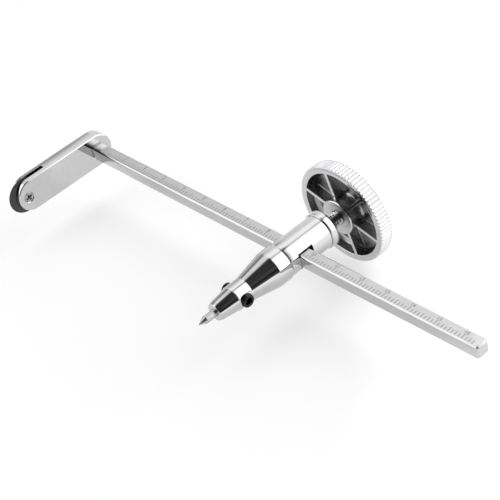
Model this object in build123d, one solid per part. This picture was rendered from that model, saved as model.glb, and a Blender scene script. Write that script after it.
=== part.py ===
"""Beam gauge with a centre point, a scribing wheel and a clamping hand wheel.

Millimetres. The origin is the tip of the centre point. +Y runs from the tip along the
head to the hand wheel, +X along the square beam to its free end, and +Z is up. The beam
crosses the head's axis at y = BEAM_Y, and the end arm carries the wheel at its -Y end.
"""
from build123d import *
import math
import os

# Square beam, through the head
BEAM_SIDE = 6.0
BEAM_CHAMFER = 0.6
BEAM_END_CHAMFER = 1.0
BEAM_Y = 50.3
BEAM_FREE_X = 95.0
ARM_FACE_X = -123.4

# Head, a set of turned pieces on one axis
BARREL_RADIUS = 7.35
BARREL_CHAMFER = 0.25
COLLAR_RADIUS = 7.9
COLLAR_ROUND = 0.4
NOSE_RADIUS = 7.75
NOSE_SCREW_RADIUS = 5.3
NOSE_TIP_RADIUS = 4.1
NOSE_END_Y = 8.2
NOSE_SMALL_TAPER_Y = (9.7, 17.2)
NOSE_LARGE_TAPER_Y = (23.8, 36.7)
NOSE_JOINT_Y = 43.25
COLLAR_JOINT_Y = 64.3
COLLAR_END_Y = 67.8
BEAM_SLOT = 7.3
SPIGOT_RADIUS = 5.5
NOSE_SPIGOT_RADIUS = 4.5
NOSE_SPIGOT_LENGTH = 5.0

# Centre point and the two screws that hold it
POINT_RADIUS = 1.6
POINT_LENGTH = 28.0
POINT_CONE = 3.5
POINT_TRAVEL = 4.0
SET_SCREW_RADIUS = 2.7
SET_SCREW_Y = 20.2
SET_SCREW_FACE_X = 6.6
SET_SCREW_CHAMFER = 0.35
SET_SCREW_SOCKET = 2.7
SET_SCREW_SOCKET_DEPTH = 2.2

# Clamp screw, quarter inch with 20 threads to the inch
STEM_RADIUS = 3.175
STEM_PITCH = 1.27
CLAMP_TURNS = 2
PAD_LENGTH = 3.0
PAD_CHAMFER = 0.3
PAD_BORE_GAP = 0.3
DOG_RADIUS = 1.4
DOG_LENGTH = 1.1

# Hand wheel
HAND_WHEEL_RADIUS = 21.9
RIM_INNER_RADIUS = 18.9
RIM_FRONT_Y = 76.6
RIM_BACK_Y = 82.6
HUB_RADIUS = 7.8
HUB_FACE_Y = 74.5
HUB_CHAMFER = 0.4
WEB_THICKNESS = 1.2
HUB_FLOOR = 2.5
RIB_COUNT = 6
RIB_WIDTH = 1.4
FIRST_RIB_ANGLE = -16
KNURL_TEETH = 84
KNURL_DEPTH = 0.45

# End arm and its wheel
ARM_THICKNESS = 6.2
ARM_HALF_WIDTH = 7.5
ARM_REACH = 36.3
ARM_CHAMFER = 0.3
WHEEL_REACH = 38.7
WHEEL_RADIUS = 8.15
WHEEL_FLAT_RADIUS = 5.4
WHEEL_THICKNESS = 1.6
WHEEL_SLOT = 2.0
WHEEL_SLOT_DEPTH = 17.1
AXLE_RADIUS = 1.6
AXLE_HEAD_RADIUS = 2.3
AXLE_HEAD_HEIGHT = 1.2
AXLE_RECESS_ANGLE = -20
AXLE_RECESS_LENGTH = 3.2
AXLE_RECESS_WIDTH = 0.8

# Fixing screws, countersunk
FIXING_RADIUS = 1.75
FIXING_HEAD_RADIUS = 3.3
FIXING_HEAD_HEIGHT = 1.8
FIXING_HEAD_LAND = 0.2
ARM_SCREW_LENGTH = 18.0
HUB_SCREW_LENGTH = 9.0

# Clearances, and how far a cutter passes the face it opens
RUNNING = 0.05
TOUCH = 0.1
SLIDE_GAP = 0.05
SPARE = 1.0

# Heights and places that follow
HALF_BEAM = BEAM_SIDE / 2
ARM_BACK_X = ARM_FACE_X - ARM_THICKNESS
ARM_MID_X = ARM_FACE_X - ARM_THICKNESS / 2
WHEEL_Y = BEAM_Y - WHEEL_REACH
PAD_Y = BEAM_Y + HALF_BEAM + SLIDE_GAP
STEM_END_Y = PAD_Y + PAD_LENGTH + TOUCH
PAD_BORE_END_Y = STEM_END_Y + (CLAMP_TURNS + 0.5) * STEM_PITCH
NOSE_SPIGOT_END_Y = NOSE_JOINT_Y - NOSE_SPIGOT_LENGTH
STEM_BACK_Y = RIM_BACK_Y - HUB_FLOOR


def turned(*outline):
    """Solid turned about the Y axis from a closed outline of (radius, y) points."""
    return revolve(make_face(Polyline(*outline, close=True)), Axis.Y)


def rod(radius, start_y, end_y):
    """Plain cylinder on the Y axis."""
    return turned((0, start_y), (radius, start_y), (radius, end_y), (0, end_y))


def cross_rod(radius, start_x, end_x, y):
    """Plain cylinder along X at height zero."""
    middle = Pos((start_x + end_x) / 2, y, 0)
    return middle * Rot(0, 90, 0) * Cylinder(radius, abs(end_x - start_x))


def block(start, end):
    """Box between two opposite corners."""
    size = [b - a for a, b in zip(start, end)]
    middle = [(a + b) / 2 for a, b in zip(start, end)]
    return Pos(*middle) * Box(*size)


def countersunk_screw(length):
    """Countersunk screw with a cross recess: head face at z = 0, shank down to -length."""
    lead = 0.4
    profile = Polyline(
        (0, 0), (FIXING_HEAD_RADIUS, 0), (FIXING_HEAD_RADIUS, -FIXING_HEAD_LAND),
        (FIXING_RADIUS, -FIXING_HEAD_HEIGHT), (FIXING_RADIUS, lead - length),
        (FIXING_RADIUS - lead, -length), (0, -length), close=True)
    body = revolve(make_face(Plane.XZ * profile), Axis.Z)
    recess_length = FIXING_HEAD_RADIUS * 1.1
    recess_width = 0.7
    recess_height = 2 * 1.2
    recess = Box(recess_length, recess_width, recess_height) + Box(recess_width, recess_length, recess_height)
    return body - recess


def countersunk_hole(depth):
    """Space for a countersunk screw: head face at z = 0, open above."""
    profile = Polyline(
        (0, SPARE), (FIXING_HEAD_RADIUS, SPARE), (FIXING_HEAD_RADIUS, -FIXING_HEAD_LAND),
        (FIXING_RADIUS, -FIXING_HEAD_HEIGHT), (FIXING_RADIUS, -depth), (0, -depth), close=True)
    return revolve(make_face(Plane.XZ * profile), Axis.Z)


def arm_screw_place():
    """Place of the screw that holds the beam: it enters the arm's far side along +X."""
    return Pos(ARM_BACK_X, BEAM_Y, 0) * Rot(0, -90, 0)


def hub_screw_place():
    """Place of the screw that holds the stem: it enters the hand wheel's back along -Y."""
    return Pos(0, RIM_BACK_Y, 0) * Rot(-90, 0, 0)


def beam():
    length = BEAM_FREE_X - ARM_FACE_X
    bar = Pos(ARM_FACE_X + length / 2, BEAM_Y, 0) * Box(length, BEAM_SIDE, BEAM_SIDE)
    bar = chamfer(bar.edges().filter_by(Axis.X), BEAM_CHAMFER)
    ends = bar.faces().filter_by(Axis.X)
    bar = chamfer(ends.edges(), BEAM_END_CHAMFER)
    return bar - arm_screw_place() * countersunk_hole(ARM_SCREW_LENGTH + SPARE)


def arm_outline():
    """Long sides joined by an arc at each end, in the YZ plane, as seen from +X."""
    near = BEAM_Y
    far = BEAM_Y - ARM_REACH
    half = ARM_HALF_WIDTH
    top = Line((far, half), (near, half))
    near_end = ThreePointArc((near, half), (near + half, 0), (near, -half))
    bottom = Line((near, -half), (far, -half))
    far_end = ThreePointArc((far, -half), (far - half, 0), (far, half))
    return make_face(top + near_end + bottom + far_end)


def end_arm():
    bar = extrude(Plane.YZ.offset(ARM_BACK_X) * arm_outline(), ARM_THICKNESS)
    bar = chamfer(bar.faces().filter_by(Axis.X).edges(), ARM_CHAMFER)
    tip_y = BEAM_Y - ARM_REACH - ARM_HALF_WIDTH
    half_slot = WHEEL_SLOT / 2
    tall = ARM_HALF_WIDTH + SPARE
    slot = block(
        (ARM_MID_X - half_slot, tip_y - SPARE, -tall),
        (ARM_MID_X + half_slot, tip_y + WHEEL_SLOT_DEPTH, tall))
    axle_hole = cross_rod(AXLE_RADIUS, ARM_BACK_X - SPARE, ARM_FACE_X + SPARE, WHEEL_Y)
    head_hole = cross_rod(AXLE_HEAD_RADIUS, ARM_FACE_X - AXLE_HEAD_HEIGHT, ARM_FACE_X + SPARE, WHEEL_Y)
    screw_hole = arm_screw_place() * countersunk_hole(ARM_THICKNESS + SPARE)
    return bar - slot - axle_hole - head_hole - screw_hole


def arm_screw():
    return arm_screw_place() * countersunk_screw(ARM_SCREW_LENGTH)


def axle_screw():
    """Headed screw through both cheeks of the arm, with a cross recess in its head."""
    head_back = ARM_FACE_X - AXLE_HEAD_HEIGHT
    shank = cross_rod(AXLE_RADIUS, ARM_BACK_X, head_back, WHEEL_Y)
    head = cross_rod(AXLE_HEAD_RADIUS, head_back, ARM_FACE_X, WHEEL_Y)
    recess_depth = 2 * AXLE_HEAD_HEIGHT
    recess = Box(recess_depth, AXLE_RECESS_LENGTH, AXLE_RECESS_WIDTH)
    recess += Box(recess_depth, AXLE_RECESS_WIDTH, AXLE_RECESS_LENGTH)
    return shank + head - Pos(ARM_FACE_X, WHEEL_Y, 0) * Rot(AXLE_RECESS_ANGLE, 0, 0) * recess


def scribing_wheel():
    """Disc bevelled on both sides to an edge at its mid thickness."""
    half = WHEEL_THICKNESS / 2
    half_edge = 0.05
    bore = AXLE_RADIUS + RUNNING
    profile = Polyline(
        (bore, -half), (WHEEL_FLAT_RADIUS, -half), (WHEEL_RADIUS, -half_edge),
        (WHEEL_RADIUS, half_edge), (WHEEL_FLAT_RADIUS, half), (bore, half), close=True)
    disc = revolve(make_face(profile), Axis.Y)
    return Pos(ARM_MID_X, WHEEL_Y, 0) * Rot(0, 0, 90) * disc


def barrel():
    """Body of the head, with the beam's slot across it and a spigot for the nose."""
    body = rod(BARREL_RADIUS, NOSE_JOINT_Y, COLLAR_JOINT_Y)
    body = chamfer(body.edges().filter_by(GeomType.CIRCLE), BARREL_CHAMFER)
    spigot = rod(NOSE_SPIGOT_RADIUS, NOSE_SPIGOT_END_Y, NOSE_JOINT_Y + SPARE)
    slot_front = BEAM_Y - HALF_BEAM - SLIDE_GAP
    wide = BARREL_RADIUS + SPARE
    slot = block((-wide, slot_front, -BEAM_SLOT / 2), (wide, slot_front + BEAM_SLOT, BEAM_SLOT / 2))
    pad_bore = rod(STEM_RADIUS + PAD_BORE_GAP, BEAM_Y, PAD_BORE_END_Y)
    collar_bore = rod(SPIGOT_RADIUS, PAD_BORE_END_Y, COLLAR_JOINT_Y + SPARE)
    return body + spigot - slot - pad_bore - collar_bore


def nose():
    """Stepped and tapered front of the head, bored for the centre point."""
    small_end, small_start = NOSE_SMALL_TAPER_Y
    large_end, large_start = NOSE_LARGE_TAPER_Y
    end_radius = NOSE_TIP_RADIUS - 0.9
    shoulder = 0.3
    joint_chamfer = 1.2
    body = turned(
        (0, NOSE_END_Y), (end_radius, NOSE_END_Y), (NOSE_TIP_RADIUS - 0.25, NOSE_END_Y + 0.45),
        (NOSE_TIP_RADIUS, small_end), (NOSE_SCREW_RADIUS - shoulder, small_start),
        (NOSE_SCREW_RADIUS, small_start + 0.1), (NOSE_SCREW_RADIUS, large_end),
        (NOSE_RADIUS, large_start), (NOSE_RADIUS, NOSE_JOINT_Y - joint_chamfer),
        (BARREL_RADIUS - 0.1, NOSE_JOINT_Y), (0, NOSE_JOINT_Y))
    spigot_bore = rod(NOSE_SPIGOT_RADIUS, NOSE_SPIGOT_END_Y - 0.5, NOSE_JOINT_Y + SPARE)
    point_bore = rod(POINT_RADIUS + RUNNING, NOSE_END_Y - SPARE, POINT_LENGTH + POINT_TRAVEL + SPARE)
    screw_reach = NOSE_RADIUS + SPARE
    screw_holes = cross_rod(SET_SCREW_RADIUS + RUNNING, -screw_reach, screw_reach, SET_SCREW_Y)
    return body - spigot_bore - point_bore - screw_holes


def collar():
    """Threaded plug behind the barrel: its flange shows, its spigot fills the barrel's bore."""
    flange = rod(COLLAR_RADIUS, COLLAR_JOINT_Y, COLLAR_END_Y)
    flange = fillet(flange.edges().filter_by(GeomType.CIRCLE), COLLAR_ROUND)
    spigot = rod(SPIGOT_RADIUS, PAD_BORE_END_Y, COLLAR_JOINT_Y + SPARE)
    return flange + spigot - rod(STEM_RADIUS + RUNNING, PAD_BORE_END_Y - SPARE, COLLAR_END_Y + SPARE)


def centre_point():
    """Hardened point: a cone on a plain shank."""
    back = POINT_LENGTH
    lead = 0.3
    return turned(
        (0, 0), (POINT_RADIUS, POINT_CONE), (POINT_RADIUS, back - lead), (POINT_RADIUS - lead, back),
        (0, back))


def set_screw(side):
    """Headless screw on one side of the nose: side is +1 for +X and -1 for -X."""
    inner = POINT_RADIUS + TOUCH
    outer = SET_SCREW_FACE_X
    body = cross_rod(SET_SCREW_RADIUS, inner, outer, SET_SCREW_Y)
    body = chamfer(body.edges().filter_by(GeomType.CIRCLE), SET_SCREW_CHAMFER)
    hexagon = RegularPolygon(SET_SCREW_SOCKET / 2, 6, major_radius=False)
    socket_floor = Plane.YZ.offset(outer - SET_SCREW_SOCKET_DEPTH)
    socket = extrude(socket_floor * Pos(SET_SCREW_Y, 0) * hexagon, SET_SCREW_SOCKET_DEPTH + SPARE)
    screw = body - socket
    return screw if side > 0 else mirror(screw, Plane.YZ)


def set_screw_front():
    return set_screw(1)


def set_screw_back():
    return set_screw(-1)


def pressure_pad():
    """Soft pad between the stem and the beam, bored for the stem's dog point."""
    back = PAD_Y + PAD_LENGTH
    pad = rod(STEM_RADIUS - TOUCH, PAD_Y, back)
    pad = chamfer(pad.edges().filter_by(GeomType.CIRCLE), PAD_CHAMFER)
    return pad - rod(DOG_RADIUS + RUNNING, back - DOG_LENGTH - TOUCH, back + SPARE)


def stem():
    """Threaded stem: its dog point turns in the pad, and its back end sits in the hub."""
    dog_end = PAD_Y + PAD_LENGTH - DOG_LENGTH
    lead = 0.5
    body = turned(
        (0, dog_end), (DOG_RADIUS, dog_end), (DOG_RADIUS, STEM_END_Y), (STEM_RADIUS - lead, STEM_END_Y),
        (STEM_RADIUS, STEM_END_Y + lead), (STEM_RADIUS, STEM_BACK_Y), (0, STEM_BACK_Y))
    return body - hub_screw_place() * countersunk_hole(HUB_SCREW_LENGTH + SPARE)


def knurled_outline():
    """Rim outline: one V groove between each pair of teeth."""
    step = math.pi / KNURL_TEETH
    points = []
    for number in range(2 * KNURL_TEETH):
        radius = HAND_WHEEL_RADIUS - KNURL_DEPTH * (number % 2)
        points.append((radius * math.cos(number * step), radius * math.sin(number * step)))
    return make_face(Polyline(*points, close=True))


def hand_wheel():
    """Cast wheel, open at the front: a knurled rim, a web at the back, a hub and ribs."""
    web_y = RIM_BACK_Y - WEB_THICKNESS
    outside = HAND_WHEEL_RADIUS + 0.1
    edge = 0.7
    knurl = extrude(Plane.XZ.offset(-RIM_FRONT_Y) * knurled_outline(), RIM_FRONT_Y - RIM_BACK_Y)
    envelope = turned(
        (RIM_INNER_RADIUS, RIM_FRONT_Y), (outside - edge, RIM_FRONT_Y), (outside, RIM_FRONT_Y + edge),
        (outside, RIM_BACK_Y - edge), (outside - edge, RIM_BACK_Y), (0, RIM_BACK_Y), (0, web_y),
        (RIM_INNER_RADIUS, web_y))
    wheel = knurl & envelope
    hub = rod(HUB_RADIUS, HUB_FACE_Y, web_y + WEB_THICKNESS / 2)
    hub_front = hub.edges().filter_by(GeomType.CIRCLE).sort_by(Axis.Y)[0]
    wheel += chamfer(hub_front, HUB_CHAMFER)
    half_rib = RIB_WIDTH / 2
    rib = block(
        (HUB_RADIUS - SPARE, RIM_FRONT_Y, -half_rib),
        (RIM_INNER_RADIUS + SPARE / 2, web_y + WEB_THICKNESS / 2, half_rib))
    for number in range(RIB_COUNT):
        angle = FIRST_RIB_ANGLE + number * 360 / RIB_COUNT
        wheel += Rot(0, -angle, 0) * rib
    stem_bore = rod(STEM_RADIUS, HUB_FACE_Y - SPARE, STEM_BACK_Y)
    return wheel - stem_bore - hub_screw_place() * countersunk_hole(HUB_SCREW_LENGTH)


def hub_screw():
    return hub_screw_place() * countersunk_screw(HUB_SCREW_LENGTH)


PIECES = (
    beam, end_arm, arm_screw, axle_screw, scribing_wheel, barrel, nose, collar, centre_point,
    set_screw_front, set_screw_back, pressure_pad, stem, hand_wheel, hub_screw)

os.makedirs("parts", exist_ok=True)
for make in PIECES:
    export_step(make(), f"parts/{make.__name__}.step")
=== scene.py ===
"""Looks of the beam gauge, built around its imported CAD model.

Metres, in the CAD frame: the origin is the tip of the centre point, +Y runs along the
head to the hand wheel, +X along the beam to its free end, and +Z is up.
"""

import math

import bmesh
import bpy
from mathutils import Matrix, Vector

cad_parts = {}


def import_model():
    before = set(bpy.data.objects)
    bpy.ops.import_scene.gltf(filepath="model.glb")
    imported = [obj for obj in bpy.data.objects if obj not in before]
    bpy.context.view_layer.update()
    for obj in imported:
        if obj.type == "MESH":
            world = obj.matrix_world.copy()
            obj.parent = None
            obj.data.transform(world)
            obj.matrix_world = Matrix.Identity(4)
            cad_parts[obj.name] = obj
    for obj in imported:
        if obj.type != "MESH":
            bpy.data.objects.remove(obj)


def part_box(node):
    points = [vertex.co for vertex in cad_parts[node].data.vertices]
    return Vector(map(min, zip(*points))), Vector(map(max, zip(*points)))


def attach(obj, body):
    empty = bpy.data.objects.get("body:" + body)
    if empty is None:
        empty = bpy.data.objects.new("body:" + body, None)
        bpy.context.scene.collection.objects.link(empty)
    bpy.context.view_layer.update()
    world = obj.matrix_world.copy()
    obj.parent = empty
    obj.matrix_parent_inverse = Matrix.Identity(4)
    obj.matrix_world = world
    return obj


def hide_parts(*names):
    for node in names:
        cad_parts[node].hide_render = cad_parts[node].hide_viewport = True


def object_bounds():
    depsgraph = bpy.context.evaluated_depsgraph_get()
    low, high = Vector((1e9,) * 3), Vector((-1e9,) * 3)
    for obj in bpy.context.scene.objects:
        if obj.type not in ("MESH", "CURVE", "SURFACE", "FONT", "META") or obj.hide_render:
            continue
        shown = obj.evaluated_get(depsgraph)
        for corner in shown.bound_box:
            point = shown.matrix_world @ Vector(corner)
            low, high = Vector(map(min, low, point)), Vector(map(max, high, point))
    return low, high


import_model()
cad_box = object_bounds()

MM = 0.001
TURN = 2 * math.pi

# ---------------------------------------------------------------- sizes from the frame

beam_low, beam_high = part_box("beam")
BEAM_Y = (beam_low.y + beam_high.y) / 2
HALF_BEAM = beam_high.z
ARM_FACE_X = beam_low.x
FREE_X = beam_high.x

arm_low, arm_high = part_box("end_arm")
ARM_BACK_X = arm_low.x
ARM_HALF_WIDTH = arm_high.z
ARM_NEAR_Y = arm_high.y - ARM_HALF_WIDTH
ARM_FAR_Y = arm_low.y + ARM_HALF_WIDTH

disc_low, disc_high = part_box("scribing_wheel")
DISC_CENTRE = (disc_low + disc_high) / 2
DISC_RADIUS = (disc_high.y - disc_low.y) / 2
DISC_HALF = (disc_high.x - disc_low.x) / 2

axle_low, axle_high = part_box("axle_screw")
AXLE_HEAD_RADIUS = (axle_high.y - axle_low.y) / 2

nose_low, nose_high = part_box("nose")
NOSE_END_Y = nose_low.y
NOSE_RADIUS = nose_high.x
JOINT_Y = nose_high.y

_, barrel_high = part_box("barrel")
BARREL_RADIUS = barrel_high.z
COLLAR_Y = barrel_high.y

_, collar_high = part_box("collar")
COLLAR_RADIUS = collar_high.z
COLLAR_END_Y = collar_high.y

point_low, point_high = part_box("centre_point")
POINT_RADIUS = point_high.x

set_low, set_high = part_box("set_screw_front")
SET_RADIUS = set_high.z
SET_Y = (set_low.y + set_high.y) / 2

pad_low, pad_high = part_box("pressure_pad")
_, stem_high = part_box("stem")
STEM_RADIUS = stem_high.x

rim_low, rim_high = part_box("hand_wheel")
RIM_RADIUS = rim_high.x
HUB_FACE_Y = rim_low.y
BACK_Y = rim_high.y

arm_screw_low, arm_screw_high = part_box("arm_screw")
hub_screw_low, hub_screw_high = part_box("hub_screw")
FIXING_HEAD_RADIUS = arm_screw_high.z

# ---------------------------------------------------------------- details within those boxes

# Clearance round a piece that sits or moves in another, and the rounding of a sharp edge
RUNNING = 0.05 * MM
EDGE = 0.1 * MM

BEAM_CHAMFER = 0.6 * MM
BEAM_END_CHAMFER = 1.0 * MM
FREE_END_CHAMFER = 0.75 * MM
NUMBER_STEP = 12.7 * MM
TICKS_PER_NUMBER = 8
FIRST_NUMBER_X = ARM_FACE_X + 19.9 * MM
LAST_NUMBER = 16
ENGRAVING = 0.1 * MM
TICK_WIDTH = 0.24 * MM

NOSE_TIP_RADIUS = 4.1 * MM
NOSE_SCREW_RADIUS = 5.3 * MM
SMALL_TAPER_Y = (9.7 * MM, 17.2 * MM)
LARGE_TAPER_Y = (23.8 * MM, 36.7 * MM)
BEAM_SLOT = 7.3 * MM

POINT_CONE = 3.5 * MM
SET_SOCKET = 2.7 * MM
SET_SOCKET_DEPTH = 2.2 * MM
SET_PITCH = 0.8 * MM
STEM_PITCH = 1.27 * MM

RIM_INNER_RADIUS = 18.9 * MM
RIM_FRONT_Y = BACK_Y - 6.0 * MM
WEB_Y = BACK_Y - 1.2 * MM
HUB_RADIUS = 7.8 * MM
RIM_CORNER = 0.7 * MM
RIB_COUNT = 6
FIRST_RIB = math.radians(-16)
KNURL_TEETH = 84
KNURL_DEPTH = 0.45 * MM
KNURL_END_Y = BACK_Y - 0.55 * MM

WHEEL_SLOT = 2.0 * MM
WHEEL_SLOT_DEPTH = 17.1 * MM
AXLE_RADIUS = 1.6 * MM
AXLE_HEAD_HEIGHT = 1.2 * MM
AXLE_RECESS_ANGLE = math.radians(20)
FIXING_RADIUS = 1.75 * MM
FIXING_HEAD_LAND = 0.2 * MM
FIXING_HEAD_HEIGHT = 1.8 * MM

Y_TO_X = Matrix.Rotation(-TURN / 4, 4, "Z")
Y_TO_MINUS_X = Matrix.Rotation(TURN / 4, 4, "Z")
Y_TO_MINUS_Y = Matrix.Rotation(TURN / 2, 4, "Z")


# ---------------------------------------------------------------- mesh tools

def mesh_object(name, vertices, faces):
    data = bpy.data.meshes.new(name)
    data.from_pydata(vertices, [], faces)
    thing = bpy.data.objects.new(name, data)
    bpy.context.scene.collection.objects.link(thing)
    bm = bmesh.new()
    bm.from_mesh(data)
    bmesh.ops.recalc_face_normals(bm, faces=bm.faces)
    bm.to_mesh(data)
    bm.free()
    return thing


def softened(outline, closed, steps=5):
    """Points of an outline of (x, y, corner radius), with an arc of that radius at each corner."""
    points = []
    last = len(outline) - 1
    for index, (x, y, soft) in enumerate(outline):
        corner = Vector((x, y))
        if soft <= 0 or (not closed and index in (0, last)):
            points.append(tuple(corner))
            continue
        back = Vector(outline[index - 1][:2]) - corner
        ahead = Vector(outline[(index + 1) % len(outline)][:2]) - corner
        half = back.angle(ahead) / 2
        reach = min(soft / math.tan(half), 0.48 * back.length, 0.48 * ahead.length)
        radius = reach * math.tan(half)
        toward = (back.normalized() + ahead.normalized()).normalized()
        middle = corner + toward * radius / math.sin(half)
        first = corner + back.normalized() * reach - middle
        second = corner + ahead.normalized() * reach - middle
        start = math.atan2(first.y, first.x)
        sweep = (math.atan2(second.y, second.x) - start + TURN / 2) % TURN - TURN / 2
        for step in range(steps + 1):
            angle = start + sweep * step / steps
            points.append((middle.x + radius * math.cos(angle), middle.y + radius * math.sin(angle)))
    return points


def lathe(name, outline, segments=144, closed=False, shaped=None):
    """Solid turned about Y from an outline of (radius, y, corner radius). A ring's outline is
    closed; any other starts and ends on the axis. shaped(radius, y, angle) may change the radius."""
    vertices = []
    rings = []
    for radius, y in softened(outline, closed):
        if radius < MM * 1e-6:
            rings.append([len(vertices)])
            vertices.append((0, y, 0))
            continue
        rings.append(list(range(len(vertices), len(vertices) + segments)))
        for step in range(segments):
            angle = TURN * step / segments
            at = shaped(radius, y, angle) if shaped else radius
            vertices.append((at * math.cos(angle), y, at * math.sin(angle)))
    pairs = list(zip(rings, rings[1:]))
    if closed:
        pairs.append((rings[-1], rings[0]))
    faces = []
    for first, second in pairs:
        for step in range(segments):
            after = (step + 1) % segments
            corners = (first[step % len(first)], first[after % len(first)],
                       second[after % len(second)], second[step % len(second)])
            faces.append(list(dict.fromkeys(corners)))
    return mesh_object(name, vertices, faces)


def loft(name, *rings):
    """Solid through rings of points, all with the same count, with a flat face at each end."""
    count = len(rings[0])
    vertices = [point for ring in rings for point in ring]
    faces = [list(range(count)), list(range(len(vertices) - count, len(vertices)))]
    for start in range(0, len(vertices) - count, count):
        for step in range(count):
            after = (step + 1) % count
            faces.append((start + step, start + after, start + count + after, start + count + step))
    return mesh_object(name, vertices, faces)


def block(name, low, high):
    """Box between two opposite corners."""
    def ring(x):
        return [(x, low[1], low[2]), (x, high[1], low[2]), (x, high[1], high[2]), (x, low[1], high[2])]
    return loft(name, ring(low[0]), ring(high[0]))


def rod(name, radius, start, end, segments=96):
    return lathe(name, [(0, start, 0), (radius, start, 0), (radius, end, 0), (0, end, 0)], segments)


def threaded(name, radius, start, end, pitch, depth, lead):
    """Threaded rod along Y, with its crests chamfered over lead at both ends."""
    per_turn = 14
    count = round((end - start) / pitch * per_turn)
    outline = [(0, start, 0)]
    for number in range(count + 1):
        y = start + (end - start) * number / count
        inside = min(y - start, end - y)
        outline.append((radius - max(0, lead - inside), y, 0))
    outline.append((0, end, 0))

    def thread(at, y, angle):
        phase = (y / pitch - angle / TURN) % 1
        groove = min(1, max(0, 1.2 - 2.4 * abs(phase - 0.5)))
        return min(at, radius - depth * groove)

    return lathe(name, outline, 72, shaped=thread)


def moved(thing, place):
    thing.data.transform(place)
    return thing


def applied(thing):
    """The object with its modifiers made part of its mesh."""
    graph = bpy.context.evaluated_depsgraph_get()
    finished = bpy.data.meshes.new_from_object(thing.evaluated_get(graph))
    thing.modifiers.clear()
    thing.data = finished
    return thing


def combined(thing, others, operation):
    for other in others:
        change = thing.modifiers.new(operation, "BOOLEAN")
        change.operation = operation
        change.solver = "EXACT"
        change.material_mode = "TRANSFER"
        change.object = other
    applied(thing)
    for other in others:
        bpy.data.objects.remove(other)
    return thing


def plated(thing):
    """The object with a material slot of its own, ready for lined cutters."""
    thing.data.materials.append(CHROME)
    return thing


def lined(thing):
    """A cutter that leaves near-black walls: painted shade inside the cut."""
    thing.data.materials.append(PAINTED_SHADE_WALL)
    return thing


def cut(thing, *cutters):
    return combined(thing, cutters, "DIFFERENCE")


def joined(thing, *others):
    return combined(thing, others, "UNION")


def edged(thing, width, steps=2, angle=40):
    """The object with every edge sharper than angle rounded."""
    bevel = thing.modifiers.new("edges", "BEVEL")
    bevel.width = width
    bevel.segments = steps
    bevel.limit_method = "ANGLE"
    bevel.angle_limit = math.radians(angle)
    bevel.harden_normals = False
    return applied(thing)


def gathered(name, things):
    """One mesh of several separate ones."""
    bm = bmesh.new()
    for thing in things:
        bm.from_mesh(thing.data)
        bpy.data.objects.remove(thing)
    data = bpy.data.meshes.new(name)
    bm.to_mesh(data)
    bm.free()
    whole = bpy.data.objects.new(name, data)
    bpy.context.scene.collection.objects.link(whole)
    return whole


def finished(thing, material, body, slot, *nodes, angle=30):
    """The piece with its material, riding on its body in place of its CAD nodes."""
    if not thing.data.materials:
        thing.data.materials.append(material)
    else:
        thing.data.materials[0] = material
    thing.data.shade_smooth()
    thing.data.set_sharp_from_angle(angle=math.radians(angle))
    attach(thing, body)
    if nodes:
        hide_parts(*nodes)
    return thing


def painted(thing, material, chosen):
    """Gives the material to the faces whose centre is chosen."""
    thing.data.materials.append(material)
    number = len(thing.data.materials) - 1
    for face in thing.data.polygons:
        if chosen(face.center, face.normal):
            face.material_index = number
    return thing


# ---------------------------------------------------------------- materials

def add(tree, kind, inputs=None, **settings):
    node = tree.nodes.new(kind)
    for key, value in settings.items():
        setattr(node, key, value)
    for key, value in (inputs or {}).items():
        node.inputs[key].default_value = value
    return node


def brushed_along_x(tree):
    """Coordinates that hardly change along X, for brushing or grinding in that direction."""
    place = add(tree, "ShaderNodeTexCoord")
    stretch = add(tree, "ShaderNodeMapping", {"Scale": (0.02, 1, 1)})
    tree.links.new(place.outputs["Object"], stretch.inputs["Vector"])
    return stretch.outputs["Vector"]


def even(tree):
    return add(tree, "ShaderNodeTexCoord").outputs["Object"]


def turned_about(axis, centre=(0, 0, 0)):
    """Coordinates of (distance from the axis, distance along it), for marks left by turning."""
    def coordinates(tree):
        place = add(tree, "ShaderNodeTexCoord")
        shift = add(tree, "ShaderNodeMapping", {"Location": [-value for value in centre]})
        across = add(tree, "ShaderNodeVectorMath", {1: [0 if axis == i else 1 for i in range(3)]},
                     operation="MULTIPLY")
        distance = add(tree, "ShaderNodeVectorMath", operation="LENGTH")
        parts = add(tree, "ShaderNodeSeparateXYZ")
        pair = add(tree, "ShaderNodeCombineXYZ")
        tree.links.new(place.outputs["Object"], shift.inputs["Vector"])
        tree.links.new(shift.outputs["Vector"], across.inputs[0])
        tree.links.new(across.outputs["Vector"], distance.inputs[0])
        tree.links.new(shift.outputs["Vector"], parts.inputs["Vector"])
        tree.links.new(distance.outputs["Value"], pair.inputs["X"])
        tree.links.new(parts.outputs[axis], pair.inputs["Y"])
        return pair.outputs["Vector"]
    return coordinates


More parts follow.
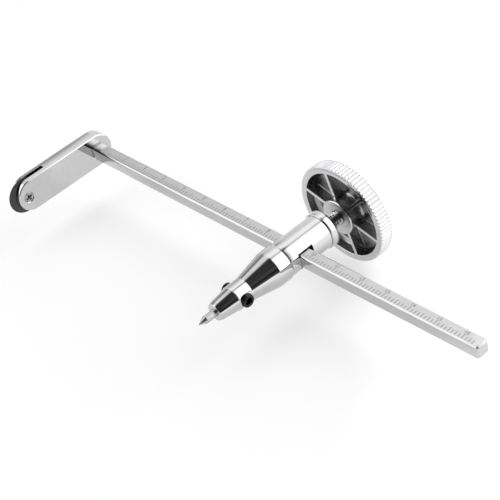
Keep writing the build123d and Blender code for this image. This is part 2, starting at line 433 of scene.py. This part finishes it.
def metal(name, colour, roughness, marks, depth, mark_size=0.12, aniso=0.0, tangent=None):
    """Metal with tool marks in its bump and roughness, and a wide haze of handling.
    depth is the depth of the marks and mark_size their width, in millimetres."""
    material = bpy.data.materials.new(name)
    material.use_nodes = True
    tree = material.node_tree
    shader = tree.nodes["Principled BSDF"]
    shader.inputs["Metallic"].default_value = 1.0
    shader.inputs["Anisotropic"].default_value = aniso
    links = tree.links

    tool = add(tree, "ShaderNodeTexNoise", {
        "Scale": 1 / (mark_size * MM), "Detail": 4.0, "Roughness": 0.6})
    links.new(marks(tree), tool.inputs["Vector"])
    wide = add(tree, "ShaderNodeTexNoise", {"Scale": 160.0, "Detail": 5.0, "Roughness": 0.65})
    links.new(even(tree), wide.inputs["Vector"])

    haze = 0.25
    both = add(tree, "ShaderNodeMix", {"Factor": 0.5}, data_type="FLOAT")
    links.new(tool.outputs["Fac"], both.inputs["A"])
    links.new(wide.outputs["Fac"], both.inputs["B"])
    spread = add(tree, "ShaderNodeMapRange", {
        "From Min": 0.3, "From Max": 0.7,
        "To Min": roughness * (1 - haze), "To Max": roughness * (1 + haze)})
    links.new(both.outputs["Result"], spread.inputs["Value"])
    links.new(spread.outputs["Result"], shader.inputs["Roughness"])

    tone = add(tree, "ShaderNodeValToRGB")
    tone.color_ramp.elements[0].position = 0.3
    tone.color_ramp.elements[0].color = (*[0.93 * value for value in colour], 1)
    tone.color_ramp.elements[1].position = 0.7
    tone.color_ramp.elements[1].color = (*colour, 1)
    links.new(wide.outputs["Fac"], tone.inputs["Fac"])
    links.new(tone.outputs["Color"], shader.inputs["Base Color"])

    bump = add(tree, "ShaderNodeBump", {"Strength": 1.0, "Distance": depth * MM})
    links.new(tool.outputs["Fac"], bump.inputs["Height"])
    links.new(bump.outputs["Normal"], shader.inputs["Normal"])

    if tangent:
        around = add(tree, "ShaderNodeTangent", direction_type="RADIAL", axis=tangent)
        links.new(around.outputs["Tangent"], shader.inputs["Tangent"])
    return material


def plain_paint(name, colour, roughness):
    """Dull fill of the engraved marks."""
    material = bpy.data.materials.new(name)
    material.use_nodes = True
    tree = material.node_tree
    shader = tree.nodes["Principled BSDF"]
    shader.inputs["Roughness"].default_value = roughness
    grain = add(tree, "ShaderNodeTexNoise", {"Scale": 4000.0, "Detail": 3.0})
    tree.links.new(even(tree), grain.inputs["Vector"])
    tone = add(tree, "ShaderNodeValToRGB")
    tone.color_ramp.elements[0].color = (*[0.7 * value for value in colour], 1)
    tone.color_ramp.elements[1].color = (*[1.3 * value for value in colour], 1)
    tree.links.new(grain.outputs["Fac"], tone.inputs["Fac"])
    tree.links.new(tone.outputs["Color"], shader.inputs["Base Color"])
    return material


CHROME = metal("chrome_turned", (0.57, 0.57, 0.575), 0.06, turned_about(1), 0.00008)
ARM_CHROME = metal("chrome_polished", (0.61, 0.61, 0.615), 0.05, even, 0.00005)
CAST_CHROME = metal("chrome_cast", (0.6, 0.6, 0.605), 0.06, even, 0.0005, mark_size=0.9)
# Darker copy of the cast chrome: painted shade, laid in the wheel's pockets and along its back edge.
PAINTED_SHADE_CHROME = metal("chrome_painted_shade", (0.36, 0.36, 0.365), 0.25, even, 0.0015, mark_size=0.9)
# Knurled chrome: rougher, as knurling leaves it, and a little lighter than the cast chrome as a painted
# highlight.
KNURL_CHROME = metal("chrome_knurled", (0.66, 0.66, 0.67), 0.3, even, 0.002, mark_size=0.3)
HUB_CHROME = metal("chrome_faced", (0.58, 0.58, 0.585), 0.25, turned_about(1), 0.0004, aniso=0.8, tangent="Y")
# Near-black metal: painted shade on the walls of holes and slots.
PAINTED_SHADE_WALL = metal("wall_painted_shade", (0.06, 0.06, 0.06), 0.5, even, 0.004, mark_size=0.3)
BEAM_STEEL = metal("beam_steel", (0.52, 0.52, 0.525), 0.1, brushed_along_x, 0.0003)
BEAM_END_STEEL = metal("beam_end_steel", (0.52, 0.52, 0.525), 0.4, even, 0.002)
DISC_STEEL = metal("disc_steel", (0.07, 0.07, 0.073), 0.3, turned_about(0, DISC_CENTRE), 0.0006,
                   aniso=0.5, tangent="X")
BLACK_OXIDE = metal("black_oxide", (0.035, 0.035, 0.038), 0.35, even, 0.002, mark_size=0.25)
POINT_STEEL = metal("point_steel", (0.52, 0.52, 0.53), 0.3, turned_about(1), 0.0008)
ZINC = metal("stem_zinc", (0.45, 0.45, 0.46), 0.12, turned_about(1), 0.0003)
BRASS = metal("pad_brass", (0.75, 0.55, 0.25), 0.25, turned_about(1), 0.0006)
FILL = plain_paint("scale_fill", (0.28, 0.28, 0.28), 0.6)


# ---------------------------------------------------------------- head

def nose():
    """Tapered front of the head, bored for the point and its two screws. The ring just behind
    the small taper keeps the shading of the plain part even."""
    joint_radius = BARREL_RADIUS - EDGE
    bore = POINT_RADIUS + RUNNING
    bore_end = point_high.y + 4 * MM
    small_start, small_end = SMALL_TAPER_Y
    large_start, large_end = LARGE_TAPER_Y
    shell = lathe("nose_shell", [
        (bore, NOSE_END_Y, 0.12 * MM),
        (NOSE_TIP_RADIUS - 0.5 * MM, NOSE_END_Y, 0.35 * MM),
        (NOSE_TIP_RADIUS, small_start, 0.8 * MM),
        (NOSE_SCREW_RADIUS - 0.25 * MM, small_end, EDGE),
        (NOSE_SCREW_RADIUS, small_end + 0.1 * MM, EDGE),
        (NOSE_SCREW_RADIUS, small_end + 0.4 * MM, 0),
        (NOSE_SCREW_RADIUS, large_start, 2.0 * MM),
        (NOSE_RADIUS, large_end, 4.5 * MM),
        (NOSE_RADIUS, JOINT_Y - 0.9 * MM, 0.8 * MM),
        (joint_radius, JOINT_Y, EDGE),
        (bore, JOINT_Y, 0),
        (bore, bore_end, 0),
    ], closed=True)
    hole = SET_RADIUS + RUNNING
    across = Matrix.Translation((0, SET_Y, 0)) @ Y_TO_X
    cross = moved(rod("screw_holes", hole, -NOSE_RADIUS, NOSE_RADIUS), across)
    plated(shell)
    # The walls of the screw holes get painted shade.
    cut(shell, lined(cross))
    edged(shell, EDGE)
    finished(shell, CHROME, "head", "chromed_steel", "nose")


def barrel():
    """Outer tube with the beam's slot. The ring beside each end of the slot keeps the shading
    of the plain parts even."""
    bore = STEM_RADIUS + 0.3 * MM
    front = BEAM_Y - HALF_BEAM - RUNNING
    beside = 0.25 * MM
    corner = 0.25 * MM
    shell = plated(lathe("barrel_shell", [
        (bore, JOINT_Y, 0),
        (BARREL_RADIUS, JOINT_Y, corner),
        (BARREL_RADIUS, front - beside, 0),
        (BARREL_RADIUS, front + BEAM_SLOT + beside, 0),
        (BARREL_RADIUS, COLLAR_Y, corner),
        (bore, COLLAR_Y, 0),
    ], closed=True))
    wide = 2 * BARREL_RADIUS
    tall = BEAM_SLOT / 2
    slot = block("beam_slot", (-wide, front, -tall), (wide, front + BEAM_SLOT, tall))
    # The walls of the beam's slot get painted shade.
    cut(shell, lined(slot))
    edged(shell, EDGE)
    finished(shell, CHROME, "head", "chromed_steel", "barrel")


def collar():
    bore = STEM_RADIUS + RUNNING
    corner = 0.4 * MM
    shell = lathe("collar_shell", [
        (bore, COLLAR_Y, 0),
        (COLLAR_RADIUS, COLLAR_Y, corner),
        (COLLAR_RADIUS, COLLAR_END_Y, corner),
        (bore, COLLAR_END_Y, corner / 2),
    ], closed=True)
    finished(shell, CHROME, "head", "chromed_steel", "collar")


def centre_point():
    blunt = 0.12 * MM
    shell = lathe("centre_point_shell", [
        (0, point_low.y, 0),
        (blunt, point_low.y + blunt, 0.1 * MM),
        (POINT_RADIUS, POINT_CONE, 0.15 * MM),
        (POINT_RADIUS, point_high.y, 0.3 * MM),
        (0, point_high.y, 0),
    ], 96)
    finished(shell, POINT_STEEL, "centre_point", "point_steel", "centre_point")


def set_screw(side, place):
    """Headless screw, its socket end at set_high.x, turned to its side of the nose."""
    node = f"set_screw_{side}"
    depth = 0.35 * MM
    screw = threaded(node + "_shell", SET_RADIUS, set_low.x, set_high.x, SET_PITCH, depth, lead=depth)
    corner = SET_SOCKET / 2 / math.cos(TURN / 12)
    floor = set_high.x - SET_SOCKET_DEPTH
    drill_tip = 0.5 * MM
    lead_in = 0.25 * MM
    socket = lathe("socket", [
        (0, floor - drill_tip, 0),
        (corner, floor, 0),
        (corner, set_high.x - lead_in, 0),
        (corner + 2 * lead_in, set_high.x + lead_in, 0),
        (0, set_high.x + lead_in, 0),
    ], 6)
    cut(screw, socket)
    moved(screw, Matrix.Translation((0, SET_Y, 0)) @ place)
    finished(screw, BLACK_OXIDE, node, "black_oxide", node, angle=24)


# ---------------------------------------------------------------- clamp

def stem():
    start = pad_high.y + 0.1 * MM
    shell = threaded("stem_shell", STEM_RADIUS, start, stem_high.y, STEM_PITCH,
                     depth=0.62 * MM, lead=0.5 * MM)
    finished(shell, ZINC, "hand_wheel", "chromed_steel", "stem", angle=24)


def pressure_pad():
    corner = 0.3 * MM
    shell = lathe("pressure_pad_shell", [
        (0, pad_low.y, 0),
        (pad_high.x, pad_low.y, corner),
        (pad_high.x, pad_high.y, corner),
        (0, pad_high.y, 0),
    ], 96)
    finished(shell, BRASS, "pressure_pad", "brass", "pressure_pad")


def knurl(radius, y, angle):
    """Straight knurl: flat-topped teeth with V grooves between them."""
    phase = angle * KNURL_TEETH / TURN % 1
    groove = min(1, max(0, 1.25 - 2.5 * abs(phase - 0.5)))
    return min(radius, RIM_RADIUS - KNURL_DEPTH * groove)


def rib(angle):
    """Rib from the hub to the rim, narrowed at the top and filleted at its foot."""
    root = WEB_Y + 0.33 * MM
    foot = WEB_Y + 0.03 * MM
    top = RIM_FRONT_Y + 0.02 * MM
    half = 0.8 * MM
    half_top = 0.85 * half
    half_foot = 2.2 * half
    fillet = 0.6 * MM
    corner = 0.2 * MM
    section = softened([
        (-half_foot, root, 0), (-half_foot, foot, 0), (-half, foot, fillet), (-half_top, top, corner),
        (half_top, top, corner), (half, foot, fillet), (half_foot, foot, 0), (half_foot, root, 0),
    ], closed=True)
    overlap = 0.5 * MM
    ends = (HUB_RADIUS - overlap, RIM_INNER_RADIUS + overlap)
    piece = loft("rib", *[[(x, y, across) for across, y in section] for x in ends])
    return moved(piece, Matrix.Rotation(-angle, 4, "Y"))


def from_axis(at):
    return math.hypot(at.x, at.z)


def on_hub_face(at, normal):
    return at.y < HUB_FACE_Y + 0.02 * MM and normal.y < -0.9


def on_knurl(at, normal):
    outside = from_axis(at) > RIM_RADIUS - KNURL_DEPTH - 0.05 * MM
    return outside and abs(normal.y) < 0.95 and at.y < KNURL_END_Y


def on_back_edge(at, normal):
    outside = from_axis(at) > RIM_RADIUS - 0.75 * MM
    return outside and abs(normal.y) < 0.95 and at.y > KNURL_END_Y


def in_pocket(at, normal):
    spare = 0.05 * MM
    between = HUB_RADIUS - spare < from_axis(at) < RIM_INNER_RADIUS + spare
    return between and RIM_FRONT_Y + 0.3 * MM < at.y < WEB_Y + 0.1 * MM


def hand_wheel():
    """Knurled wheel with its hub, web and ribs, bored for the stem and its screw."""
    bore = STEM_RADIUS + 0.02 * MM
    screw_bore = FIXING_RADIUS + RUNNING
    countersink = FIXING_HEAD_RADIUS + RUNNING
    wheel = lathe("hand_wheel_shell", [
        (bore, HUB_FACE_Y, 0.2 * MM),
        (HUB_RADIUS, HUB_FACE_Y, 0.6 * MM),
        (HUB_RADIUS, WEB_Y, 1.4 * MM),
        (RIM_INNER_RADIUS, WEB_Y, 2.4 * MM),
        (RIM_INNER_RADIUS, RIM_FRONT_Y, 0.3 * MM),
        (RIM_RADIUS, RIM_FRONT_Y, RIM_CORNER),
        (RIM_RADIUS, BACK_Y, RIM_CORNER),
        (countersink, BACK_Y, 0),
        (countersink, BACK_Y - FIXING_HEAD_LAND, 0),
        (screw_bore, BACK_Y - FIXING_HEAD_HEIGHT, 0),
        (screw_bore, stem_high.y, 0),
        (bore, stem_high.y, 0),
    ], segments=KNURL_TEETH * 8, closed=True, shaped=knurl)
    joined(wheel, *[rib(FIRST_RIB + TURN * number / RIB_COUNT) for number in range(RIB_COUNT)])
    finished(wheel, CAST_CHROME, "hand_wheel", "chromed_casting", "hand_wheel")
    painted(wheel, HUB_CHROME, on_hub_face)
    # The knurl gets the lighter chrome, a painted highlight.
    painted(wheel, KNURL_CHROME, on_knurl)
    # Painted shade: a darker band along the back edge of the rim.
    painted(wheel, PAINTED_SHADE_CHROME, on_back_edge)
    # Painted shade: the pockets between the ribs are darker than the rest of the wheel.
    painted(wheel, PAINTED_SHADE_CHROME, in_pocket)


def plus(a, b, y):
    """Outline of a cross at height y: arms of half length a and half width b, twelve corners."""
    corners = [
        (a, -b), (a, b), (b, b), (b, a), (-b, a), (-b, b),
        (-a, b), (-a, -b), (-b, -b), (-b, -a), (b, -a), (b, -b)]
    return [(x, y, z) for x, z in corners]


def fixing_screw(name, length, body, place):
    """Countersunk screw with a tapered cross recess, its head face at the origin of place."""
    head = FIXING_HEAD_RADIUS - 0.02 * MM
    lead = 0.4 * MM
    screw = lathe(name + "_shell", [
        (0, 0, 0),
        (head, 0, 0.08 * MM),
        (head, FIXING_HEAD_LAND, 0.05 * MM),
        (FIXING_RADIUS, FIXING_HEAD_HEIGHT, 0.1 * MM),
        (FIXING_RADIUS, length - lead, 0),
        (FIXING_RADIUS - lead, length, 0),
        (0, length, 0),
    ], 96)
    recess = loft(
        "recess",
        plus(1.95 * MM, 0.42 * MM, -0.1 * MM),
        plus(0.9 * MM, 0.3 * MM, 1.3 * MM),
        plus(0.32 * MM, 0.2 * MM, 1.7 * MM))
    cut(screw, recess)
    edged(screw, 0.05 * MM)
    moved(screw, place)
    finished(screw, ZINC, body, "chromed_steel", name)


# ---------------------------------------------------------------- beam and its scale

def beam_section(x, half, corner):
    """Square with its corners cut, at x."""
    a, b = half, half - corner
    corners = [(a, b), (b, a), (-b, a), (-a, b), (-a, -b), (-b, -a), (b, -a), (a, -b)]
    return [(x, BEAM_Y + y, z) for y, z in corners]


def tick_length(number):
    """Length of a tick of the scale, longer at each number, half and quarter."""
    flat = 2 * (HALF_BEAM - BEAM_CHAMFER)
    for every, share in ((TICKS_PER_NUMBER, 0.52), (4, 0.47), (2, 0.42), (1, 0.36)):
        if number % every == 0:
            return share * flat


def tick(number):
    x = FIRST_NUMBER_X + (number / TICKS_PER_NUMBER - 1) * NUMBER_STEP
    near = BEAM_Y - HALF_BEAM + BEAM_CHAMFER + 0.1 * MM
    half = TICK_WIDTH / 2
    return block("tick", (x - half, near, HALF_BEAM - ENGRAVING),
                 (x + half, near + tick_length(number), HALF_BEAM + ENGRAVING))


def engraved_number(number):
    """Cutter in the shape of a number, near the beam's back edge."""
    curve = bpy.data.curves.new("number", "FONT")
    curve.body = str(number)
    curve.size = 2.3 * MM
    curve.align_x = "CENTER"
    curve.extrude = ENGRAVING
    curve.resolution_u = 3
    letters = bpy.data.objects.new("number", curve)
    bpy.context.scene.collection.objects.link(letters)
    graph = bpy.context.evaluated_depsgraph_get()
    data = bpy.data.meshes.new_from_object(letters.evaluated_get(graph))
    bpy.data.objects.remove(letters)
    bm = bmesh.new()
    bm.from_mesh(data)
    bmesh.ops.remove_doubles(bm, verts=bm.verts, dist=MM * 1e-3)
    bm.to_mesh(data)
    bm.free()
    shape = bpy.data.objects.new("number", data)
    bpy.context.scene.collection.objects.link(shape)
    base = BEAM_Y + 0.35 * MM
    x = FIRST_NUMBER_X + (number - 1) * NUMBER_STEP
    return moved(shape, Matrix.Translation((x, base, HALF_BEAM)))


def on_free_end(at, normal):
    return at.x > FREE_X - FREE_END_CHAMFER and normal.x > 0.3


def beam():
    """Bar with chamfered corners and ends, and the scale engraved in its top."""
    bar = loft(
        "beam_shell",
        beam_section(ARM_FACE_X, HALF_BEAM - BEAM_END_CHAMFER, 0.2 * MM),
        beam_section(ARM_FACE_X + BEAM_END_CHAMFER, HALF_BEAM, BEAM_CHAMFER),
        beam_section(FREE_X - FREE_END_CHAMFER, HALF_BEAM, BEAM_CHAMFER),
        beam_section(FREE_X, HALF_BEAM - FREE_END_CHAMFER, 0.15 * MM))
    edged(bar, 0.12 * MM, angle=20)
    bar.data.materials.append(BEAM_STEEL)
    marked = FREE_X - 3 * MM - FIRST_NUMBER_X
    last_tick = int(marked / NUMBER_STEP * TICKS_PER_NUMBER) + TICKS_PER_NUMBER
    marks = [tick(number) for number in range(last_tick + 1)]
    marks += [engraved_number(number) for number in range(1, LAST_NUMBER + 1)]
    scale = gathered("scale", marks)
    scale.data.materials.clear()
    scale.data.materials.append(FILL)
    cut(bar, scale)
    finished(bar, BEAM_STEEL, "beam", "beam_steel", "beam", angle=20)
    painted(bar, BEAM_END_STEEL, on_free_end)


# ---------------------------------------------------------------- end arm and its wheel

def arm_section(x, inset):
    """Long sides joined by a half circle at each end, at x."""
    radius = ARM_HALF_WIDTH - inset
    steps = 40
    points = []
    for centre, start in ((ARM_NEAR_Y, -TURN / 4), (ARM_FAR_Y, TURN / 4)):
        for step in range(steps + 1):
            angle = start + TURN / 2 * step / steps
            points.append((x, centre + radius * math.cos(angle), radius * math.sin(angle)))
    return points


def end_arm():
    """Bar with a slightly crowned edge, slotted for the wheel and bored for its screws."""
    soft = 0.3 * MM
    middle = (ARM_BACK_X + ARM_FACE_X) / 2
    half = (ARM_FACE_X - ARM_BACK_X) / 2 - soft
    crown = 0.16 * MM
    shares = [step / 4 for step in range(-4, 5)]
    sides = [arm_section(middle + share * half, crown * share ** 2) for share in shares]
    ends = [arm_section(x, crown + soft) for x in (ARM_BACK_X, ARM_FACE_X)]
    arm = loft("end_arm_shell", ends[0], *sides, ends[1])
    tall = 2 * ARM_HALF_WIDTH
    slot = block("wheel_slot", (middle - WHEEL_SLOT / 2, arm_low.y - MM, -tall),
                 (middle + WHEEL_SLOT / 2, arm_low.y + WHEEL_SLOT_DEPTH, tall))
    at_axle = Matrix.Translation((0, DISC_CENTRE.y, 0)) @ Y_TO_X
    at_screw = Matrix.Translation((0, BEAM_Y, 0)) @ Y_TO_X
    shank_hole = rod("hole", AXLE_RADIUS + RUNNING, ARM_BACK_X - MM, ARM_FACE_X + MM)
    head = AXLE_HEAD_RADIUS + RUNNING
    head_floor = ARM_FACE_X - AXLE_HEAD_HEIGHT
    lead = 0.2 * MM
    head_hole = lathe("hole", [
        (0, head_floor, 0),
        (head, head_floor, 0),
        (head, ARM_FACE_X - lead, 0),
        (head + 2 * lead, ARM_FACE_X + lead, 0),
        (0, ARM_FACE_X + lead, 0),
    ])
    sink = FIXING_HEAD_RADIUS + RUNNING
    shank = FIXING_RADIUS + RUNNING
    screw_hole = lathe("hole", [
        (0, ARM_BACK_X - MM, 0),
        (sink, ARM_BACK_X - MM, 0),
        (sink, ARM_BACK_X + FIXING_HEAD_LAND, 0),
        (shank, ARM_BACK_X + FIXING_HEAD_HEIGHT, 0),
        (shank, ARM_FACE_X - MM, 0),
        (0, ARM_FACE_X - MM, 0),
    ])
    cut(arm, slot, moved(shank_hole, at_axle), moved(head_hole, at_axle), moved(screw_hole, at_screw))
    edged(arm, 0.08 * MM)
    finished(arm, ARM_CHROME, "beam", "chromed_steel", "end_arm")


def axle_screw():
    """Headed screw with a deep cross recess, its far end rounded and flush with the arm."""
    head_floor = ARM_FACE_X - AXLE_HEAD_HEIGHT
    head = AXLE_HEAD_RADIUS
    head_top = ARM_FACE_X - 0.1 * MM
    screw = plated(lathe("axle_screw_shell", [
        (0, ARM_BACK_X, 0),
        (AXLE_RADIUS, ARM_BACK_X, 0.25 * MM),
        (AXLE_RADIUS, head_floor, 0),
        (head, head_floor, 0),
        (head, head_top, 0.3 * MM),
        (0, head_top, 0),
    ], 96))
    recess = loft(
        "recess",
        plus(1.75 * MM, 0.5 * MM, ARM_FACE_X + 0.1 * MM),
        plus(1.2 * MM, 0.4 * MM, head_floor),
        plus(0.4 * MM, 0.25 * MM, head_floor - 0.6 * MM))
    cut(screw, moved(recess, Matrix.Rotation(AXLE_RECESS_ANGLE, 4, "Y")))
    edged(screw, 0.05 * MM)
    moved(screw, Matrix.Translation((0, DISC_CENTRE.y, 0)) @ Y_TO_X)
    finished(screw, ZINC, "beam", "chromed_steel", "axle_screw")


def scribing_wheel():
    """Disc with its bore, and a bevel on each side from the flat down to the edge."""
    bore = AXLE_RADIUS + RUNNING
    flat = 5.4 * MM
    edge = 0.03 * MM
    disc = lathe("scribing_wheel_shell", [
        (bore, -DISC_HALF, 0.1 * MM),
        (flat, -DISC_HALF, 0.15 * MM),
        (DISC_RADIUS, -edge, 0.02 * MM),
        (DISC_RADIUS, edge, 0.02 * MM),
        (flat, DISC_HALF, 0.15 * MM),
        (bore, DISC_HALF, 0.1 * MM),
    ], segments=192, closed=True)
    moved(disc, Matrix.Translation(DISC_CENTRE) @ Y_TO_X)
    finished(disc, DISC_STEEL, "scribing_wheel", "hardened_steel", "scribing_wheel", angle=15)


# ---------------------------------------------------------------- floor, light and camera

def floor():
    """Pale floor, lit a little from within, and more so toward +X and +Y."""
    side = 6.0
    level = cad_box[0].z - 0.2 * MM
    corners = [(-side, -side, level), (side, -side, level), (side, side, level), (-side, side, level)]
    plane = mesh_object("floor", corners, [(0, 1, 2, 3)])
    material = bpy.data.materials.new("floor_white")
    material.use_nodes = True
    tree = material.node_tree
    shader = tree.nodes["Principled BSDF"]
    shader.inputs["Roughness"].default_value = 0.7
    shader.inputs["Specular IOR Level"].default_value = 0.2
    shader.inputs["Emission Color"].default_value = (1, 1, 1, 1)
    place = add(tree, "ShaderNodeTexCoord")
    along = add(tree, "ShaderNodeVectorMath", {1: (0.7, 0.7, 0)}, operation="DOT_PRODUCT")
    tree.links.new(place.outputs["Object"], along.inputs[0])
    glow = add(tree, "ShaderNodeMapRange", {
        "From Min": 0.045, "From Max": 0.11, "To Min": 0.55, "To Max": 0.95}, interpolation_type="SMOOTHSTEP")
    tree.links.new(along.outputs["Value"], glow.inputs["Value"])
    tree.links.new(glow.outputs["Result"], shader.inputs["Emission Strength"])
    grain = add(tree, "ShaderNodeTexNoise", {"Scale": 900.0, "Detail": 4.0})
    tree.links.new(even(tree), grain.inputs["Vector"])
    tone = add(tree, "ShaderNodeValToRGB")
    tone.color_ramp.elements[0].color = (0.49, 0.49, 0.49, 1)
    tone.color_ramp.elements[1].color = (0.51, 0.51, 0.51, 1)
    tree.links.new(grain.outputs["Fac"], tone.inputs["Fac"])
    tree.links.new(tone.outputs["Color"], shader.inputs["Base Color"])
    plane.data.materials.append(material)


def world():
    """Soft studio that changes with direction. Pale walls, less three dark parts: the room above
    the free end and the point, a shade behind the arm, and a narrow streak in front of that.
    Then three bright panels are added: the key behind the hand wheel, one at the upper left and
    one in front."""
    studio = bpy.data.worlds.new("studio")
    bpy.context.scene.world = studio
    studio.use_nodes = True
    tree = studio.node_tree
    links = tree.links
    back = tree.nodes["Background"]
    place = add(tree, "ShaderNodeTexCoord")
    parts = add(tree, "ShaderNodeSeparateXYZ")
    links.new(place.outputs["Generated"], parts.inputs["Vector"])

    def ramp(axis, start, end, low=0.0, high=1.0):
        step = add(tree, "ShaderNodeMapRange", {
            "From Min": start, "From Max": end, "To Min": low, "To Max": high},
            interpolation_type="SMOOTHSTEP")
        links.new(parts.outputs[axis], step.inputs["Value"])
        return step.outputs["Result"]

    def product(first, *others):
        for other in others:
            step = add(tree, "ShaderNodeMath", operation="MULTIPLY")
            links.new(first, step.inputs[0])
            if isinstance(other, float):
                step.inputs[1].default_value = other
            else:
                links.new(other, step.inputs[1])
            first = step.outputs["Value"]
        return first

    def total(first, other, operation="ADD"):
        step = add(tree, "ShaderNodeMath", operation=operation)
        if isinstance(first, float):
            step.inputs[0].default_value = first
        else:
            links.new(first, step.inputs[0])
        links.new(other, step.inputs[1])
        return step.outputs["Value"]

    above = ramp("Z", -0.04, 0.1)
    clouds = add(tree, "ShaderNodeTexNoise", {"Scale": 7.0, "Detail": 3.0})
    links.new(place.outputs["Generated"], clouds.inputs["Vector"])
    depth = add(tree, "ShaderNodeMapRange", {
        "From Min": 0.35, "From Max": 0.65, "To Min": 0.96, "To Max": 1.04})
    links.new(clouds.outputs["Fac"], depth.inputs["Value"])
    room = product(
        ramp("X", -0.36, -0.06), above, ramp("Y", 0.3, 0.48, 1.0, 0.0), depth.outputs["Result"])
    key = product(ramp("X", 0.02, 0.14), above, ramp("Y", 0.24, 0.4), 1.5)
    upper_left = product(
        ramp("X", -0.72, -0.42), ramp("X", -0.2, -0.1, 1.0, 0.0),
        ramp("Z", 0.3, 0.6), ramp("Y", 0.1, 0.3), 0.5)
    shade = product(
        ramp("X", -0.7, -0.8), ramp("Y", 0.38, 0.5, 1.0, 0.0),
        ramp("Y", -0.3, -0.1), ramp("Z", 0.0, 0.3), 0.52)
    streak = product(
        ramp("X", -0.64, -0.72), ramp("X", -0.86, -0.8),
        ramp("Y", 0.18, 0.3, 1.0, 0.0), ramp("Y", -0.3, -0.1), ramp("Z", 0.3, 0.5), 0.5)
    front = product(ramp("X", -0.1, -0.3), ramp("Y", -0.3, -0.1, 1.0, 0.0), 0.8)
    darker = total(total(room, shade), streak)
    brighter = total(total(key, front), upper_left)
    walls = 1.05
    light = total(total(walls, darker, "SUBTRACT"), brighter)
    links.new(light, back.inputs["Strength"])
    back.inputs["Color"].default_value = (1, 1, 1, 1)


def camera():
    """Camera at distance from target, turned from -Y toward +X by azimuth, raised and rolled."""
    data = bpy.data.cameras.new("camera")
    data.lens = 111.84
    data.sensor_width = 36
    data.clip_start = 0.01
    data.clip_end = 50
    eye = bpy.data.objects.new("camera", data)
    bpy.context.scene.collection.objects.link(eye)
    bpy.context.scene.camera = eye
    target = Vector((-15.40, 41.23, 0)) * MM
    distance = 603.93 * MM
    azimuth = math.radians(55.68)
    elevation = math.radians(38.29)
    roll = math.radians(14.305)
    level = math.cos(elevation)
    away = Vector((level * math.sin(azimuth), -level * math.cos(azimuth), math.sin(elevation)))
    turn = away.to_track_quat("Z", "Y").to_matrix() @ Matrix.Rotation(-roll, 3, "Z")
    eye.matrix_world = Matrix.Translation(target + away * distance) @ turn.to_4x4()


nose()
barrel()
collar()
centre_point()
set_screw("front", Y_TO_X)
set_screw("back", Y_TO_MINUS_X)
stem()
pressure_pad()
hand_wheel()
fixing_screw("hub_screw", hub_screw_high.y - hub_screw_low.y, "hand_wheel",
             Matrix.Translation((0, BACK_Y, 0)) @ Y_TO_MINUS_Y)
beam()
end_arm()
fixing_screw("arm_screw", arm_screw_high.x - arm_screw_low.x, "beam",
             Matrix.Translation((ARM_BACK_X, BEAM_Y, 0)) @ Y_TO_X)
axle_screw()
scribing_wheel()

floor()
world()
camera()
bpy.context.scene.view_settings.view_transform = "Standard"
